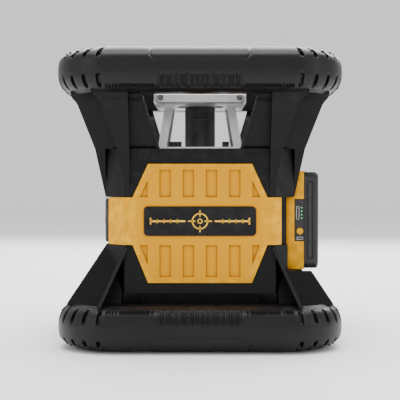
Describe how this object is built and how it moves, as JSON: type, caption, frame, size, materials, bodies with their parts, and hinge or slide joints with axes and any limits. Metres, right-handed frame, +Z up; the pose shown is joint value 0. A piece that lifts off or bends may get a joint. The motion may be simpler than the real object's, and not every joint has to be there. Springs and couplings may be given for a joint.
{
  "type": "rotating laser level",
  "caption": "Self-levelling rotary laser level in a black roll cage with rubber bumper rings, glazed lighthouse, keypad and slide-in battery pack.",
  "frame": {"origin": "centre of the footprint on the surface that the lower bumper stands on", "axes": "+Z up through the rotor, -Y towards the front panel, +X towards the battery pack"},
  "size_m": [0.215, 0.215, 0.224],
  "materials": {
    "badge_gloss": "gloss",
    "base_aluminium": "machined",
    "bearing_steel": "polished",
    "belt_rubber": "matte",
    "brass_barrel": "turned",
    "bumper_rubber": "satin",
    "cage_plastic": "textured",
    "cap_black": "matte",
    "cast_aluminium": "cast",
    "cell_wrap": "shrink wrap",
    "chassis_aluminium": "cast",
    "circuit_board": "solder mask",
    "contact_block": "matte",
    "insert_steel": "plated",
    "key_rubber": "matte",
    "keypad_plastic": "satin",
    "latch_plastic": "moulded",
    "lens_clear": "clear",
    "motor_steel": "drawn",
    "pack_plastic": "textured",
    "pulley_plastic": "moulded",
    "rotor_black": "anodised",
    "screw_steel": "plated",
    "seal_rubber": "matte",
    "window_glass": "clear",
    "yellow_plastic": "satin"
  },
  "bodies": {
    "root": {"badge_plate": "badge_gloss", "base_insert": "insert_steel", "base_plate": "base_aluminium", "base_screws": "screw_steel", "battery_bay": "yellow_plastic", "bottom_bumper": "bumper_rubber", "cage_screws": "screw_steel", "chassis": "chassis_aluminium", "front_panel": "yellow_plastic", "keypad_bezel": "keypad_plastic", "keypad_pcb": "circuit_board", "left_band": "yellow_plastic", "level_motors": "motor_steel", "lighthouse_frame": "cast_aluminium", "lighthouse_gasket": "seal_rubber", "lighthouse_screws": "screw_steel", "lower_cage": "cage_plastic", "main_pcb": "circuit_board", "rear_insert": "insert_steel", "rear_panel": "yellow_plastic", "roll_cage": "cage_plastic", "status_lenses": "lens_clear", "terminal_block": "contact_block", "top_bumper": "bumper_rubber", "top_cap": "cap_black", "top_window": "window_glass", "upper_cage": "cage_plastic", "window_clips": "cap_black", "window_front": "window_glass", "window_left": "window_glass", "window_rear": "window_glass", "window_right": "window_glass"},
    "gimbal": {"gimbal_ring": "chassis_aluminium", "gimbal_pins": "screw_steel"},
    "platform": {"platform": "chassis_aluminium", "laser_barrel": "brass_barrel", "collimator_lens": "window_glass", "rotor_bearings": "bearing_steel", "rotor_motor": "motor_steel", "drive_belt": "belt_rubber"},
    "rotor": {"rotor_shaft": "rotor_black", "rotor_tube": "rotor_black", "beam_prism": "window_glass", "beam_window": "window_glass"},
    "motor_pulley": {"motor_pulley": "pulley_plastic"},
    "leadscrew_x": {"leadscrew_x": "screw_steel"},
    "leadscrew_y": {"leadscrew_y": "screw_steel"},
    "lift_nut_x": {"lift_nut_x": "brass_barrel"},
    "lift_nut_y": {"lift_nut_y": "brass_barrel"},
    "pack": {"pack_case": "pack_plastic", "pack_cover": "pack_plastic", "cells": "cell_wrap"},
    "pack_latch": {"pack_latch": "latch_plastic"},
    "gauge_button": {"gauge_button": "latch_plastic"},
    "power_button": {"power_button": "key_rubber"},
    "speed_button": {"speed_button": "key_rubber"},
    "scan_button": {"scan_button": "key_rubber"},
    "slope_button": {"slope_button": "key_rubber"},
    "arrow_left_button": {"arrow_left_button": "key_rubber"},
    "arrow_right_button": {"arrow_right_button": "key_rubber"}
  },
  "joints": [
    {"name": "tilt_x", "type": "hinge", "parent": "root", "child": "gimbal", "pos_m": [0, 0, 0.136], "axis": [1, 0, 0], "range_deg": [-5, 5]},
    {"name": "tilt_y", "type": "hinge", "parent": "gimbal", "child": "platform", "pos_m": [0, 0, 0.136], "axis": [0, 1, 0], "range_deg": [-5, 5]},
    {"name": "rotor_spin", "type": "hinge", "parent": "platform", "child": "rotor", "pos_m": [0, 0, 0.15], "axis": [0, 0, 1], "continuous": true},
    {"name": "motor_spin", "type": "hinge", "parent": "platform", "child": "motor_pulley", "pos_m": [0, 0.027, 0.11], "axis": [0, 0, 1], "continuous": true},
    {"name": "leadscrew_x_turn", "type": "hinge", "parent": "root", "child": "leadscrew_x", "pos_m": [0, -0.048, 0.11], "axis": [0, 0, 1], "range_deg": [-380, 380]},
    {"name": "leadscrew_y_turn", "type": "hinge", "parent": "root", "child": "leadscrew_y", "pos_m": [-0.048, 0, 0.11], "axis": [0, 0, 1], "range_deg": [-380, 380]},
    {"name": "lift_x", "type": "slide", "parent": "root", "child": "lift_nut_x", "axis": [0, 0, 1], "range_m": [-0.0043, 0.0043]},
    {"name": "lift_y", "type": "slide", "parent": "root", "child": "lift_nut_y", "axis": [0, 0, 1], "range_m": [-0.0043, 0.0043]},
    {"name": "battery_slide", "type": "slide", "parent": "root", "child": "pack", "axis": [0, 1, 0], "range_m": [0, 0.115]},
    {"name": "latch_press", "type": "slide", "parent": "pack", "child": "pack_latch", "axis": [0, -1, 0], "range_m": [0, 0.0012], "stiffness_N_per_m": 800},
    {"name": "gauge_press", "type": "slide", "parent": "pack", "child": "gauge_button", "axis": [0, 1, 0], "range_m": [0, 0.0006], "stiffness_N_per_m": 500},
    {"name": "power_press", "type": "slide", "parent": "root", "child": "power_button", "axis": [1, 0, 0], "range_m": [0, 0.0008], "stiffness_N_per_m": 400},
    {"name": "speed_press", "type": "slide", "parent": "root", "child": "speed_button", "axis": [1, 0, 0], "range_m": [0, 0.0008], "stiffness_N_per_m": 400},
    {"name": "scan_press", "type": "slide", "parent": "root", "child": "scan_button", "axis": [1, 0, 0], "range_m": [0, 0.0008], "stiffness_N_per_m": 400},
    {"name": "slope_press", "type": "slide", "parent": "root", "child": "slope_button", "axis": [1, 0, 0], "range_m": [0, 0.0008], "stiffness_N_per_m": 400},
    {"name": "arrow_left_press", "type": "slide", "parent": "root", "child": "arrow_left_button", "axis": [1, 0, 0], "range_m": [0, 0.0008], "stiffness_N_per_m": 400},
    {"name": "arrow_right_press", "type": "slide", "parent": "root", "child": "arrow_right_button", "axis": [1, 0, 0], "range_m": [0, 0.0008], "stiffness_N_per_m": 400}
  ],
  "couplings": [
    {"joint": "motor_spin", "follows": "rotor_spin", "ratio": 1.8696},
    {"joint": "lift_x", "follows": "tilt_x", "m_per_rad": -0.048},
    {"joint": "lift_y", "follows": "tilt_y", "m_per_rad": 0.048},
    {"joint": "leadscrew_x_turn", "follows": "tilt_x", "ratio": -75.398},
    {"joint": "leadscrew_y_turn", "follows": "tilt_y", "ratio": 75.398}
  ]
}
